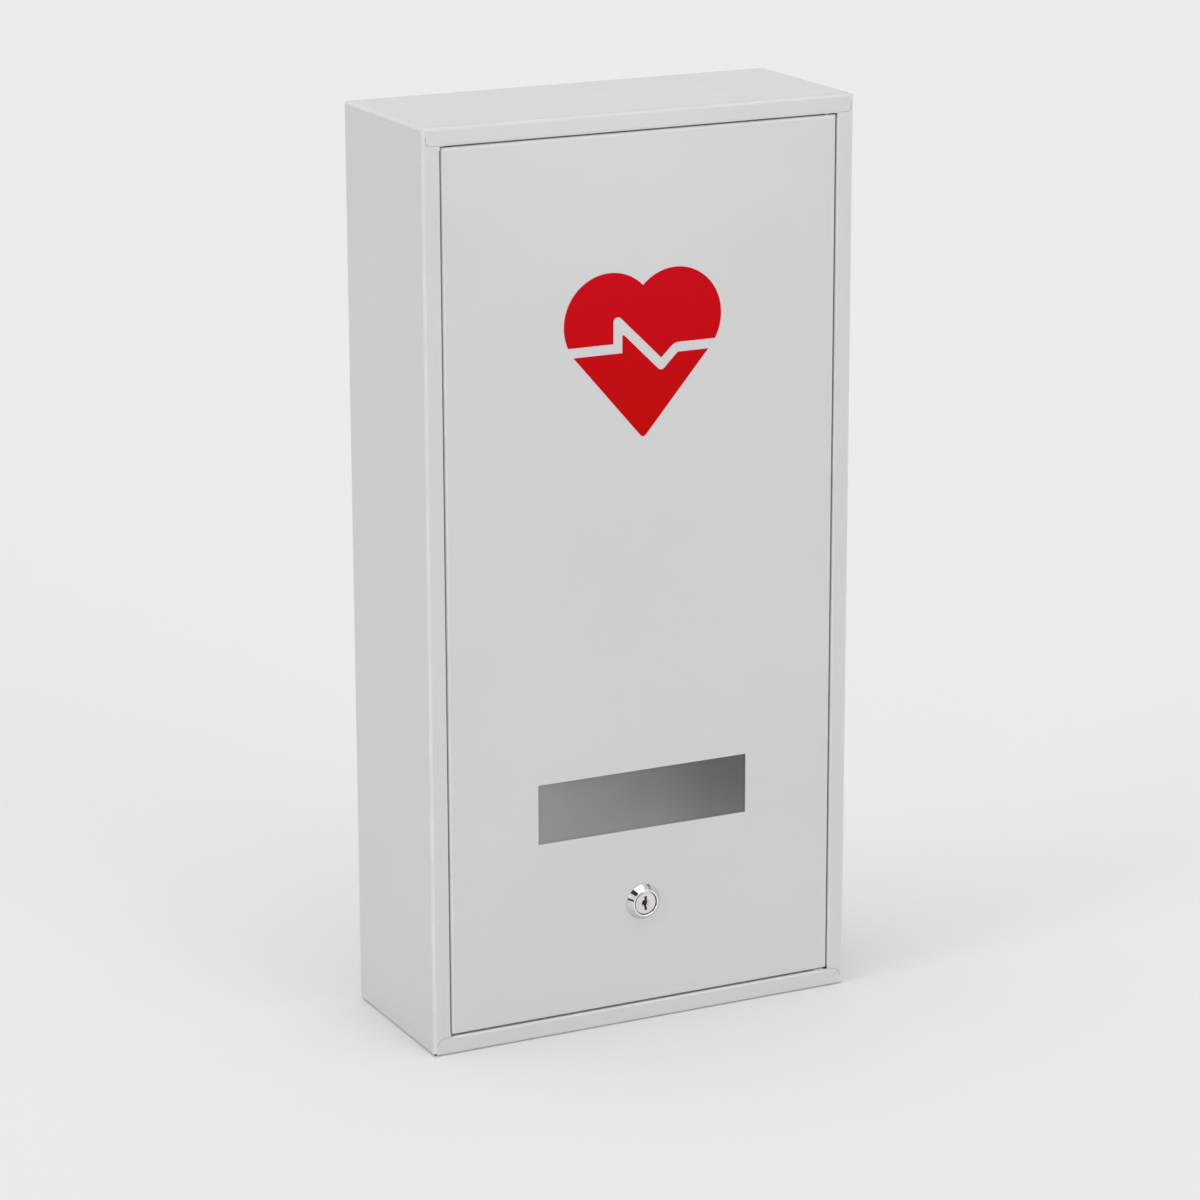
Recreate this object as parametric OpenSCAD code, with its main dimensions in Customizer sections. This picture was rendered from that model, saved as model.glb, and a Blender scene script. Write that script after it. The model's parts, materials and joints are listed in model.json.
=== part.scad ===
// Lockable wall cabinet for medicines, folded from coated sheet steel.
// The front faces -Y and +Z is up. The origin is the middle of the underside.
// Depths are measured from the front face of the door towards the wall.

/* [Casing] */
// Outer width of the casing
cabinet_w = 300; // [240:5:400]
// Outer depth of the casing
cabinet_d = 120; // [90:5:200]
// Outer height of the casing
cabinet_h = 600; // [560:5:800]
// Thickness of the sheet steel
sheet_t = 1; // [0.8:0.1:1.2]
// Outer radius of the casing's four corners, seen from the front
corner_r = 3; // [2.5:0.5:6]
// Outer radius of the folds along the front and rear edges
fold_r = 2.5; // [2:0.25:3.5]
// Width of the frame round the door
frame_w = 12; // [10:0.5:20]
// Distance from the casing's sides to the seams that end the top and bottom sheets
seam_in = 2.3; // [2.2:0.1:2.6]
// Width of the welded seams on the frame
seam_w = 0.4; // [0.3:0.1:0.6]
// Depth of the welded seams on the frame
seam_depth = 0.3; // [0.2:0.05:0.4]
// Radius of the seam round the ends of the top flange
seam_r_top = 3; // [2:0.5:5]
// Radius of the seam round the ends of the bottom flange
seam_r_bottom = 6; // [3:0.5:8]
// Outer radius of the fold along the edge of the frame's opening
opening_fold_r = 1.5; // [1.2:0.1:2]
// Width of the relief cut where two frame returns meet
relief_w = 2.4; // [1.8:0.1:3]
// Diameter of the notch left at the casing's lower front corners
corner_notch_d = 1.6; // [1.4:0.1:1.9]
// Distance from the middle of that notch to the corner's outer surface
corner_notch_in = 0.6; // [0.4:0.1:0.6]

/* [Wall holes] */
// Diameter of the four holes in the back
wall_hole_d = 8; // [5:0.5:10]
// Distance between the left and right holes
wall_hole_pitch_x = 200; // [120:5:200]
// Distance between the upper and lower holes
wall_hole_pitch_z = 520; // [400:5:520]

/* [Door] */
// Gap between the door and its frame at the sides
door_gap = 0.9; // [0.8:0.1:1.6]
// Gap between the door and its frame at the top
door_gap_top = 0.85; // [0.7:0.05:1.6]
// Gap between the door and its frame at the bottom, over the hinge washer
door_gap_bottom = 1.1; // [0.9:0.1:1.8]
// Depth of the door and of the frame's return beside it
door_d = 14; // [12:0.5:18]
// Outer radius of the folds round the door's front
door_fold_r = 2; // [1.6:0.1:2.4]
// Width of the lip inside the door's rear edge
door_lip_w = 8; // [6:0.5:12]
// Width of the slit at the door's folded corners
door_slit_w = 1.4; // [0.8:0.1:2]

/* [Hinge] */
// Distance from the door's right edge to the pivot
pivot_inset = 5.2; // [5:0.1:5.6]
// Depth of the pivot behind the door's front
pivot_depth = 4.2; // [4.1:0.1:4.6]
// Diameter of the hinge pins
pin_d = 3; // [2.6:0.1:3.6]
// Diameter of the head on each hinge pin
pin_head_d = 4.4; // [4:0.1:4.6]
// Thickness of the head on each hinge pin
pin_head_t = 1.5; // [1:0.25:2.5]
// Outer diameter of the bush barrel
bush_d = 5.2; // [4.8:0.1:5.8]
// Diameter of the lower bush's flange, which carries the door
bush_flange_d = 8; // [7:0.1:8.2]
// Gap between the lower bush's flange and the door
bush_flange_gap = 0.2; // [0.1:0.05:0.4]
// Length of the bush behind the frame
bush_len = 5; // [3:0.5:7]
// Radial clearance between a pin and its bush
pin_clearance = 0.05; // [0.03:0.01:0.1]

/* [Window] */
// Width of the window opening
window_w = 150; // [100:5:180]
// Height of the window opening
window_h = 40; // [30:1:60]
// Height of the window's middle above the underside
window_z = 152; // [145:1:170]
// Thickness of the clear pane
pane_t = 2; // [1.5:0.1:3]
// How far the pane runs past each edge of the opening
pane_lap = 7; // [5:0.5:8]
// Height of the channel lip over the pane
channel_lip_h = 5; // [3:0.5:6]
// Height of the channel foot on the door
channel_foot_h = 7; // [5:0.5:9]

/* [Shelves] */
// Distance from the casing's top down to the upper shelf's top
shelf_upper_drop = 165; // [150:5:190]
// Height of the lower shelf's top
shelf_lower_z = 114; // [112:1:122]
// Height of the up-turned lip along each shelf's front
shelf_lip_h = 12; // [6:1:20]
// Height of the up-turned edge along each shelf's rear
shelf_rear_h = 6; // [4:1:12]
// Outer radius of the folds along a shelf
shelf_fold_r = 2; // [1.6:0.1:3]
// Gap between a shelf and the casing's sides
shelf_side_gap = 0.8; // [0.4:0.1:1.5]
// Gap between the door and the front of a shelf
shelf_front_gap = 4; // [3:0.5:8]
// Width of the shelf brackets
bracket_w = 12; // [8:1:20]
// Height of the shelf brackets
bracket_h = 10; // [6:1:16]
// Distance from a bracket's end to the front and rear of its shelf
bracket_setback = 5; // [2:1:12]

/* [Lock] */
// Height of the lock's axis above the underside
lock_z = 82; // [80:1:84]
// Diameter of the lock bezel where it meets the door
bezel_d = 22; // [21:0.5:26]
// Diameter of the lock bezel's face
bezel_face_d = 17; // [16.6:0.1:18.6]
// How far the bezel stands out of the door
bezel_h = 4.5; // [3:0.25:6]
// Thickness of the straight rim of the bezel
bezel_rim_t = 0.6; // [0.4:0.1:1.2]
// Outer diameter of the lock barrel
barrel_d = 19; // [18:0.25:20]
// Distance across the flats of the lock barrel
barrel_flats = 17; // [16.8:0.1:17.6]
// Diameter of the lock plug
plug_d = 15.2; // [14.6:0.1:15.4]
// Diameter of the plug's stepped face
plug_face_d = 14.4; // [13.6:0.1:14.6]
// Height of the plug's stepped face
plug_face_t = 1.2; // [0.8:0.1:2]
// Radial clearance round the lock plug
plug_clearance = 0.05; // [0.03:0.01:0.1]
// How far the plug's face sits inside the bezel
plug_recess = 0.8; // [0.4:0.1:1.2]
// Width of the keyway
keyway_w = 1.8; // [1.4:0.1:2.2]
// Height of the keyway
keyway_h = 9.5; // [8:0.5:11]
// Diameter of the round middle of the keyway
keyway_round_d = 3.4; // [2.8:0.1:4]
// Diameter of the dish round the middle of the keyway
keyway_dish_d = 5.6; // [4.6:0.1:6.4]
// Depth of the dish round the middle of the keyway
keyway_dish_h = 1.2; // [0.6:0.1:1.8]
// Thickness of the wafers
wafer_t = 1; // [0.8:0.05:1.1]
// Width of the wafers
wafer_w = 6.4; // [6:0.1:7]
// Distance from one wafer to the next
wafer_pitch = 2.2; // [1.9:0.1:2.3]
// Number of wafers
wafer_count = 5; // [3:1:5]
// Clearance round a wafer in its slot
wafer_clearance = 0.06; // [0.04:0.01:0.1]
// Distance across the flats of the lock nut
nut_flats = 24; // [22:0.5:26]
// Thickness of the lock nut
nut_t = 4; // [3:0.5:6]
// Outer diameter of the lock washer
lock_washer_d = 25; // [23:0.5:28]
// Thickness of the lock washer
lock_washer_t = 0.8; // [0.5:0.1:1.2]
// Width of the cam
cam_w = 16; // [14:0.5:17]
// Thickness of the cam
cam_t = 2; // [1.5:0.1:3]
// Distance across the square that drives the cam
cam_square = 8; // [7:0.25:8.5]
// Diameter of the turned tail that carries the square
tail_d = 10; // [9.5:0.25:10.5]
// Gap between the keeper and the cam behind it
cam_gap = 1; // [0.6:0.1:2]
// Gap between the cam's tip and the keeper's top when locked
cam_tip_gap = 2; // [1.5:0.1:3]
// Gap between the unlocked cam and the keeper above it
keeper_gap = 3; // [2:0.5:4]
// Width of the keeper
keeper_w = 44; // [30:2:80]
// Depth of the keeper's flange under the shelf
keeper_flange_d = 15; // [10:1:24]
// Diameter of the cam screw
cam_screw_d = 4; // [3:0.5:4.5]
// Length of the cam screw's shank
cam_screw_len = 8; // [6:0.5:9]
// Diameter of the cam screw's head
cam_screw_head_d = 7.5; // [7:0.25:9]
// Height of the cam screw's head
cam_screw_head_h = 2.4; // [1.6:0.1:3]
// Diameter of the washer under the cam screw
cam_washer_d = 11.5; // [11:0.25:14]
// Thickness of the washer under the cam screw
cam_washer_t = 0.8; // [0.5:0.1:1.2]

/* [Door stops] */
// Distance from the casing's top down to the upper door stop's middle
stop_upper_drop = 95; // [75:5:110]
// Height of the lower door stop's middle
stop_lower_z = 200; // [180:5:220]
// Height of each door stop
stop_h = 24; // [16:1:40]
// How far each door stop reaches behind the door
stop_reach = 10; // [8:0.5:11]
// Depth of the door stop's leg on the side of the casing
stop_leg_d = 14; // [8:1:20]
// Diameter of the stop bumpers
bumper_d = 8; // [6:0.5:9]
// Thickness of the stop bumpers
bumper_t = 2; // [1.5:0.1:3]
// Gap between the closed door and a bumper
bumper_gap = 0.3; // [0.2:0.1:0.5]

/* [Hidden] */
$fn = 64;
// Overrun of a cut past the face it opens
cut = 1;
// Play where a fixed piece passes through its hole
hole_play = 0.1;

coat_colour = "#d2d2ce";
side_colour = "#cccecb";
zinc_colour = "#b9bcbe";
nylon_colour = "#e9e8e2";
rubber_colour = "#3a3a3a";
chrome_colour = "#d9dbdd";
pane_colour = [0.75, 0.78, 0.77, 0.35];

front_y = -cabinet_d / 2;
inner_w = cabinet_w - 2 * sheet_t;
opening_w = cabinet_w - 2 * frame_w;
opening_low_z = frame_w;
opening_high_z = cabinet_h - frame_w;

corner_notch_inset = corner_r - (corner_r - corner_notch_in) * cos(45);
seam_offset = 0.2;
back_rim = 0.5;
back_seam_depth = cabinet_d - fold_r - back_rim;

door_w = opening_w - 2 * door_gap;
door_low_z = opening_low_z + door_gap_bottom;
door_high_z = opening_high_z - door_gap_top;
door_slit_start = door_fold_r + 0.5;
pivot_x = door_w / 2 - pivot_inset;
bush_flange_t = door_gap_bottom - bush_flange_gap;

shelf_upper_z = cabinet_h - shelf_upper_drop;
shelf_middle_z = (shelf_upper_z + shelf_lower_z) / 2;
shelf_depth_front = door_d + shelf_front_gap;
shelf_w = inner_w - 2 * shelf_side_gap;
shelf_rear_gap = 1;
shelf_depth_rear = cabinet_d - sheet_t - shelf_rear_gap;

cam_depth = shelf_depth_front + cam_gap;
cam_back_depth = cam_depth + cam_t;
barrel_end_gap = 0.3;
cam_reach = shelf_lower_z - 2 * sheet_t - cam_tip_gap - lock_z;
plug_face_depth = plug_recess - bezel_h;
tail_short = 0.2;
keyway_depth = 11;
wafer_first_depth = 0.2;

stop_upper_z = cabinet_h - stop_upper_drop;
stop_depth = door_d + bumper_gap + bumper_t;
bumper_margin = 0.3;

// Extrudes an outline drawn as (x, z) between two depths behind the front face.
module between_depths(near, far) {
    translate([0, front_y + far, 0])
        rotate([90, 0, 0])
            linear_extrude(far - near)
                children();
}

// Extrudes a side profile drawn as (y, z) along X, centred on x.
module along_x(x, length) {
    translate([x - length / 2, 0, 0])
        rotate([90, 0, 90])
            linear_extrude(length)
                children();
}

// Turns a shape made along +Z round the lock's axis, starting at a depth.
module on_lock_axis(depth) {
    translate([0, front_y + depth, lock_z])
        rotate([-90, 0, 0])
            children();
}

// Rectangle between two corners.
module box_2d(low, high) {
    translate(low)
        square(high - low);
}

// Rectangle with all four corners rounded.
module round_box_2d(low, high, r) {
    box_2d([low.x + r, low.y], [high.x - r, high.y]);
    box_2d([low.x, low.y + r], [high.x, high.y - r]);
    for (x = [low.x + r, high.x - r], y = [low.y + r, high.y - r])
        translate([x, y])
            circle(r);
}

// Rectangle whose two corners at low x are rounded.
module nose_box_2d(low, high, r) {
    box_2d([low.x + r, low.y], high);
    box_2d([low.x, low.y + r], [low.x + r + cut, high.y - r]);
    for (y = [low.y + r, high.y - r])
        translate([low.x + r, y])
            circle(r);
}

// The casing as a solid block with rounded edges, set in from its outer faces.
module casing_block(inset) {
    half_w = cabinet_w / 2 - inset;
    half_d = cabinet_d / 2 - inset;
    low_z = inset;
    high_z = cabinet_h - inset;
    intersection() {
        between_depths(inset, cabinet_d - inset)
            round_box_2d([-half_w, low_z], [half_w, high_z], corner_r - inset);
        linear_extrude(cabinet_h)
            round_box_2d([-half_w, -half_d], [half_w, half_d], fold_r - inset);
        along_x(0, cabinet_w)
            round_box_2d([-half_d, low_z], [half_d, high_z], fold_r - inset);
    }
}

// The opening in the frame, widened or narrowed by a margin.
module opening_2d(margin) {
    box_2d(
        [-opening_w / 2 - margin, opening_low_z - margin],
        [opening_w / 2 + margin, opening_high_z + margin]
    );
}

// The folded skin of the casing and its back, closed all round.
module casing_skin() {
    difference() {
        casing_block(0);
        casing_block(sheet_t);
    }
}

// Where the bottom sheet's flange laps the side flanges, seen from the front.
module end_lap_2d(r, inset) {
    end_x = cabinet_w / 2 - seam_in - inset;
    round_box_2d([-end_x, -2 * frame_w], [end_x, frame_w - seam_offset - inset], r - inset);
}

// All that the bottom sheet takes up, with its return beside the door.
module end_sheet_2d(r) {
    return_x = opening_w / 2 - seam_offset;
    end_lap_2d(r, 0);
    box_2d([-return_x, 0], [return_x, 2 * frame_w]);
}

// Outline of the welded seam round the ends of that flange.
module seam_2d(r) {
    inner_x = opening_w / 2 - seam_w;
    difference() {
        end_lap_2d(r, 0);
        end_lap_2d(r, seam_w);
        box_2d([-inner_x, -3 * frame_w], [inner_x, 3 * frame_w]);
        box_2d([-cabinet_w, -3 * frame_w], [cabinet_w, frame_w / 2]);
    }
}

// Turns an outline drawn for the casing's lower end into one for its upper end.
module at_top_2d() {
    translate([0, cabinet_h])
        mirror([0, 1])
            children();
}

// The part of the casing's frame and walls that lies within an outline seen from the front.
module casing_sheet() {
    color(side_colour)
        intersection() {
            union() {
                difference() {
                    casing_skin();
                    between_depths(-cut, fold_r)
                        opening_2d(0);
                    opening_folds();
                    for (x = [-1, 1])
                        translate([x * (cabinet_w / 2 - corner_notch_inset), 0, corner_notch_inset])
                            between_depths(-cut, fold_r + cut)
                                circle(d = corner_notch_d);
                    between_depths(-cut, seam_depth)
                        seam_2d(seam_r_bottom);
                    between_depths(-cut, seam_depth)
                        at_top_2d()
                            seam_2d(seam_r_top);
                }
                frame_returns();
            }
            between_depths(-cut, back_seam_depth)
                children();
        }
}

module casing_top() {
    casing_sheet()
        at_top_2d()
            end_sheet_2d(seam_r_top);
}

module casing_bottom() {
    casing_sheet()
        end_sheet_2d(seam_r_bottom);
}

// A side sheet, which keeps the rounded corners; hand is -1 left, 1 right.
module casing_side(hand) {
    casing_sheet()
        difference() {
            translate([hand * cabinet_w / 2, cabinet_h / 2])
                square([4 * frame_w, 2 * cabinet_h], center = true);
            end_sheet_2d(seam_r_bottom);
            at_top_2d()
                end_sheet_2d(seam_r_top);
        }
}

// Outline that rounds an outer edge at [0, 0] of material lying at positive x and negative y.
module fold_cut_2d(r) {
    difference() {
        box_2d([-cut, -r], [r, cut]);
        translate([r, -r])
            circle(r);
    }
}

// What is taken off the frame's sharp inner edge so that it becomes a fold.
module opening_folds() {
    for (side = [0, 1])
        translate([0, front_y, side * cabinet_h])
            mirror([0, 0, side])
                translate([0, 0, opening_low_z])
                    along_x(0, opening_w - 2 * relief_w)
                        fold_cut_2d(opening_fold_r);
    for (side = [0, 1])
        mirror([side, 0, 0])
            translate([opening_w / 2, front_y, opening_low_z + relief_w])
                linear_extrude(opening_high_z - opening_low_z - 2 * relief_w)
                    rotate(90)
                        fold_cut_2d(opening_fold_r);
}

// The four walls that turn in from the frame, parted at the corners by relief cuts.
module frame_returns() {
    difference() {
        between_depths(sheet_t, door_d)
            difference() {
                opening_2d(sheet_t);
                opening_2d(0);
            }
        for (x = [-opening_w / 2, opening_w / 2], z = [opening_low_z, opening_high_z])
            translate([x, 0, z])
                between_depths(sheet_t, door_d + cut)
                    square(relief_w, center = true);
        for (side = [0, 1])
            pivot_axis(side)
                cylinder(d = bush_d + hole_play, h = 2 * frame_w, center = true);
    }
}

// Places a shape on the hinge axis with +Z pointing out of the door:
// side 1 is where the door's top edge is and side 0 where its bottom edge is.
module pivot_axis(side) {
    translate([pivot_x, front_y + pivot_depth, side == 1 ? door_high_z : door_low_z])
        mirror([0, 0, 1 - side])
            children();
}

// The rear sheet, with a shallow rim bent forward to meet the casing's walls.
module back_panel() {
    color(side_colour)
        difference() {
            intersection() {
                casing_skin();
                between_depths(back_seam_depth, cabinet_d + cut)
                    square(3 * cabinet_h, center = true);
            }
            for (x = [-1, 1], z = [-1, 1])
                translate([x * wall_hole_pitch_x / 2, 0, cabinet_h / 2 + z * wall_hole_pitch_z / 2])
                    between_depths(cabinet_d - sheet_t - cut, cabinet_d + cut)
                        circle(d = wall_hole_d);
        }
}

// A shelf folded from one sheet, with a lip along the front and a lower one along the rear.
module shelf(top_z) {
    near_y = front_y + shelf_depth_front;
    far_y = front_y + shelf_depth_rear;
    low_z = top_z - sheet_t;
    r = shelf_fold_r;
    color(coat_colour)
        along_x(0, shelf_w)
            difference() {
                union() {
                    box_2d([near_y + r, low_z], [far_y - r, top_z + r]);
                    box_2d([near_y, low_z + r], [near_y + r + cut, top_z + shelf_lip_h]);
                    box_2d([far_y - r - cut, low_z + r], [far_y, top_z + shelf_rear_h]);
                    for (y = [near_y + r, far_y - r])
                        translate([y, low_z + r])
                            circle(r);
                }
                box_2d([near_y + sheet_t, top_z + r - sheet_t], [far_y - sheet_t, top_z + 2 * shelf_lip_h]);
                box_2d([near_y + r, top_z], [far_y - r, top_z + 2 * shelf_lip_h]);
                for (y = [near_y + r, far_y - r])
                    translate([y, low_z + r])
                        circle(r - sheet_t);
            }
}

// An angle strip on the side wall that carries one end of a shelf; hand is -1 left, 1 right.
module shelf_bracket(top_z, hand) {
    wall_x = inner_w / 2;
    shelf_low = top_z - sheet_t;
    near = shelf_depth_front + bracket_setback;
    far = shelf_depth_rear - bracket_setback;
    color(coat_colour)
        mirror([hand < 0 ? 1 : 0, 0, 0])
            between_depths(near, far) {
                box_2d([wall_x - sheet_t, shelf_low - bracket_h], [wall_x, shelf_low]);
                box_2d([wall_x - bracket_w, shelf_low - sheet_t], [wall_x, shelf_low]);
            }
}

// The angle under the lower shelf that the cam turns up behind.
module lock_keeper() {
    near_y = front_y + shelf_depth_front - sheet_t;
    top = shelf_lower_z - sheet_t;
    lip_low = lock_z + cam_w / 2 + keeper_gap;
    color(zinc_colour)
        along_x(0, keeper_w) {
            box_2d([near_y, lip_low], [near_y + sheet_t, top]);
            box_2d([near_y, top - sheet_t], [near_y + keeper_flange_d, top]);
        }
}

// An angle on the left side wall that stands behind the closing edge of the door.
module door_stop(mid_z) {
    wall_x = -inner_w / 2;
    reach_x = -door_w / 2 + stop_reach;
    near_y = front_y + stop_depth;
    color(zinc_colour)
        translate([0, 0, mid_z - stop_h / 2])
            linear_extrude(stop_h) {
                box_2d([wall_x, near_y], [reach_x, near_y + sheet_t]);
                box_2d([wall_x, near_y], [wall_x + sheet_t, near_y + stop_leg_d]);
            }
}

// A rubber button on a door stop, domed towards the door.
module stop_bumper(mid_z) {
    dome_t = bumper_t / 2;
    color(rubber_colour)
        translate([-door_w / 2 + stop_reach - bumper_d / 2 - bumper_margin, front_y + stop_depth, mid_z])
            rotate([90, 0, 0])
                rotate_extrude() {
                    square([bumper_d / 2, dome_t]);
                    intersection() {
                        translate([0, dome_t - cut])
                            square([bumper_d / 2, bumper_t - dome_t + cut]);
                        translate([0, bumper_t - bumper_d])
                            circle(bumper_d);
                    }
                }
}

// The gap that the hinge pin of a side crosses.
function pin_gap(side) = side == 1 ? door_gap_top : door_gap_bottom;

// A bush pressed into the frame's return; the lower one's flange carries the door.
module hinge_bush(side) {
    color(nylon_colour)
        pivot_axis(side)
            difference() {
                union() {
                    if (side == 0)
                        translate([0, 0, bush_flange_gap])
                            cylinder(d = bush_flange_d, h = bush_flange_t);
                    translate([0, 0, pin_gap(side)])
                        cylinder(d = bush_d, h = bush_len);
                }
                cylinder(d = pin_d + 2 * pin_clearance, h = pin_gap(side) + bush_len + cut);
            }
}

// The door's front sheet and its four turned-in edges as a block, set in from the outer faces.
module door_block(inset) {
    half_w = door_w / 2 - inset;
    near_y = front_y + inset;
    far_y = front_y + door_d + (inset > 0 ? cut : 0);
    r = door_fold_r - inset;
    intersection() {
        translate([0, 0, door_low_z + inset])
            linear_extrude(door_high_z - door_low_z - 2 * inset)
                rotate(90)
                    nose_box_2d([near_y, -half_w], [far_y, half_w], r);
        along_x(0, door_w - 2 * inset)
            nose_box_2d([near_y, door_low_z + inset], [far_y, door_high_z - inset], r);
    }
}

// The lip that stiffens the door's rear edge, mitred at the corners.
module door_lip() {
    between_depths(door_d - sheet_t, door_d)
        difference() {
            box_2d([-door_w / 2, door_low_z], [door_w / 2, door_high_z]);
            box_2d(
                [-door_w / 2 + door_lip_w, door_low_z + door_lip_w],
                [door_w / 2 - door_lip_w, door_high_z - door_lip_w]
            );
        }
}

// Outline of the hole and barrel of the lock, round with two flats at the sides.
module flatted_2d(d, flats) {
    intersection() {
        circle(d = d);
        square([flats, 2 * d], center = true);
    }
}

module door_panel() {
    color(coat_colour)
        difference() {
            union() {
                difference() {
                    door_block(0);
                    door_block(sheet_t);
                }
                door_lip();
            }
            for (x = [-1, 1], side = [0, 1])
                translate([x * door_w / 2, front_y + door_d, side == 1 ? door_high_z : door_low_z])
                    rotate([0, x * (side == 1 ? 45 : -45), 0])
                        cube([door_slit_w, 2 * (door_d - door_slit_start), 4 * door_lip_w], center = true);
            between_depths(-cut, sheet_t + cut)
                box_2d(
                    [-window_w / 2, window_z - window_h / 2],
                    [window_w / 2, window_z + window_h / 2]
                );
            between_depths(-cut, sheet_t + cut)
                translate([0, lock_z])
                    flatted_2d(barrel_d + hole_play, barrel_flats + hole_play);
            for (side = [0, 1])
                pivot_axis(side)
                    cylinder(d = pin_d + hole_play, h = 4 * sheet_t, center = true);
        }
}

// A headed pin, fixed in the edge of the door, that turns in the bush.
module hinge_pin(side) {
    color(zinc_colour)
        pivot_axis(side) {
            translate([0, 0, -sheet_t - pin_head_t])
                cylinder(d = pin_head_d, h = pin_head_t);
            translate([0, 0, -sheet_t - pin_head_t])
                cylinder(d = pin_d, h = sheet_t + pin_head_t + pin_gap(side) + bush_len);
        }
}

module window_pane() {
    color(pane_colour)
        between_depths(sheet_t, sheet_t + pane_t)
            box_2d(
                [-window_w / 2 - pane_lap, window_z - window_h / 2 - pane_lap],
                [window_w / 2 + pane_lap, window_z + window_h / 2 + pane_lap]
            );
}

// A stepped strip that holds one long edge of the pane; hand is 1 above it and -1 below.
module window_channel(hand) {
    edge = window_h / 2 + pane_lap;
    near_y = front_y + sheet_t;
    lip_y = near_y + pane_t;
    color(coat_colour)
        translate([0, 0, window_z])
            mirror([0, 0, hand < 0 ? 1 : 0])
                along_x(0, window_w + 2 * pane_lap) {
                    box_2d([near_y, edge], [near_y + sheet_t, edge + channel_foot_h]);
                    box_2d([near_y, edge], [lip_y + sheet_t, edge + sheet_t]);
                    box_2d([lip_y, edge - channel_lip_h], [lip_y + sheet_t, edge + sheet_t]);
                }
}

module lock_housing() {
    color(chrome_colour)
        difference() {
            union() {
                on_lock_axis(-bezel_h)
                    rotate_extrude()
                        polygon([
                            [0, 0], [bezel_face_d / 2, 0], [bezel_d / 2, bezel_h - bezel_rim_t],
                            [bezel_d / 2, bezel_h], [0, bezel_h]
                        ]);
                on_lock_axis(-cut)
                    linear_extrude(cam_depth - barrel_end_gap + cut)
                        flatted_2d(barrel_d, barrel_flats);
            }
            on_lock_axis(-bezel_h - cut)
                cylinder(r = plug_d / 2 + plug_clearance, h = bezel_h + cam_depth + 2 * cut);
        }
}

module lock_washer() {
    color(zinc_colour)
        on_lock_axis(sheet_t)
            linear_extrude(lock_washer_t)
                difference() {
                    circle(d = lock_washer_d);
                    flatted_2d(barrel_d + hole_play, barrel_flats + hole_play);
                }
}

module lock_nut() {
    color(zinc_colour)
        on_lock_axis(sheet_t + lock_washer_t)
            linear_extrude(nut_t)
                difference() {
                    circle(d = nut_flats / cos(30), $fn = 6);
                    circle(d = barrel_d + hole_play);
                }
}

// Outline of the keyway, a slot with a round middle.
module keyway_2d() {
    square([keyway_w, keyway_h], center = true);
    circle(d = keyway_round_d);
}

// Outline of the square on the plug's tail, with the corners turned off.
module tail_2d(square_w, d) {
    intersection() {
        circle(d = d);
        square(square_w, center = true);
    }
}

module lock_plug() {
    color(chrome_colour)
        difference() {
            union() {
                on_lock_axis(plug_face_depth)
                    cylinder(d = plug_face_d, h = plug_face_t + cut);
                on_lock_axis(plug_face_depth + plug_face_t)
                    cylinder(d = plug_d, h = cam_depth - plug_face_depth - plug_face_t);
                on_lock_axis(cam_depth - cut)
                    linear_extrude(cam_t - tail_short + cut)
                        tail_2d(cam_square, tail_d);
            }
            on_lock_axis(plug_face_depth - cut)
                linear_extrude(keyway_depth - plug_face_depth + cut)
                    keyway_2d();
            on_lock_axis(plug_face_depth)
                cylinder(d1 = keyway_dish_d, d2 = keyway_round_d, h = keyway_dish_h);
            on_lock_axis(plug_face_depth - cut)
                cylinder(d = keyway_dish_d, h = cut);
            for (i = [0:wafer_count - 1])
                on_lock_axis(wafer_first_depth + i * wafer_pitch - wafer_clearance)
                    linear_extrude(wafer_t + 2 * wafer_clearance)
                        square([wafer_w + 2 * wafer_clearance, 2 * plug_d], center = true);
            on_lock_axis(cam_back_depth + cam_washer_t - cam_screw_len - cut)
                cylinder(d = cam_screw_d + hole_play, h = cam_screw_len + 2 * cut);
        }
}

// The flat wafers that hold the plug until the key lifts them, one solid each.
module lock_wafers() {
    window_margin = 1.4;
    color("#c9a86a")
        for (i = [0:wafer_count - 1])
            on_lock_axis(wafer_first_depth + i * wafer_pitch)
                linear_extrude(wafer_t)
                    difference() {
                        intersection() {
                            square([wafer_w, plug_d], center = true);
                            circle(d = plug_d - 2 * wafer_clearance);
                        }
                        square([wafer_w - 2 * window_margin, keyway_h], center = true);
                    }
}

// The flat cam; at rest it points to the left and clears the keeper.
module lock_cam() {
    tip_x = cam_reach - cam_w / 2;
    color(zinc_colour)
        on_lock_axis(cam_depth)
            linear_extrude(cam_t)
                difference() {
                    union() {
                        circle(d = cam_w);
                        translate([-tip_x, -cam_w / 2])
                            square([tip_x, cam_w]);
                        translate([-tip_x, 0])
                            circle(d = cam_w);
                    }
                    tail_2d(cam_square + hole_play, tail_d + hole_play);
                }
}

module cam_washer() {
    color(zinc_colour)
        on_lock_axis(cam_back_depth)
            difference() {
                cylinder(d = cam_washer_d, h = cam_washer_t);
                translate([0, 0, -cut])
                    cylinder(d = cam_screw_d + hole_play, h = cam_washer_t + 2 * cut);
            }
}

module cam_screw() {
    recess_w = 1.2;
    head_depth = cam_back_depth + cam_washer_t;
    head_top_d = cam_screw_head_d - cam_screw_head_h;
    color(zinc_colour)
        difference() {
            union() {
                on_lock_axis(head_depth)
                    cylinder(d1 = cam_screw_head_d, d2 = head_top_d, h = cam_screw_head_h);
                on_lock_axis(head_depth - cam_screw_len)
                    cylinder(d = cam_screw_d, h = cam_screw_len + cut);
            }
            on_lock_axis(head_depth + cam_screw_head_h / 2)
                for (turn = [0, 90])
                    rotate(turn)
                        translate([-cam_screw_d / 2, -recess_w / 2, 0])
                            cube([cam_screw_d, recess_w, cam_screw_head_h]);
        }
}

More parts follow.
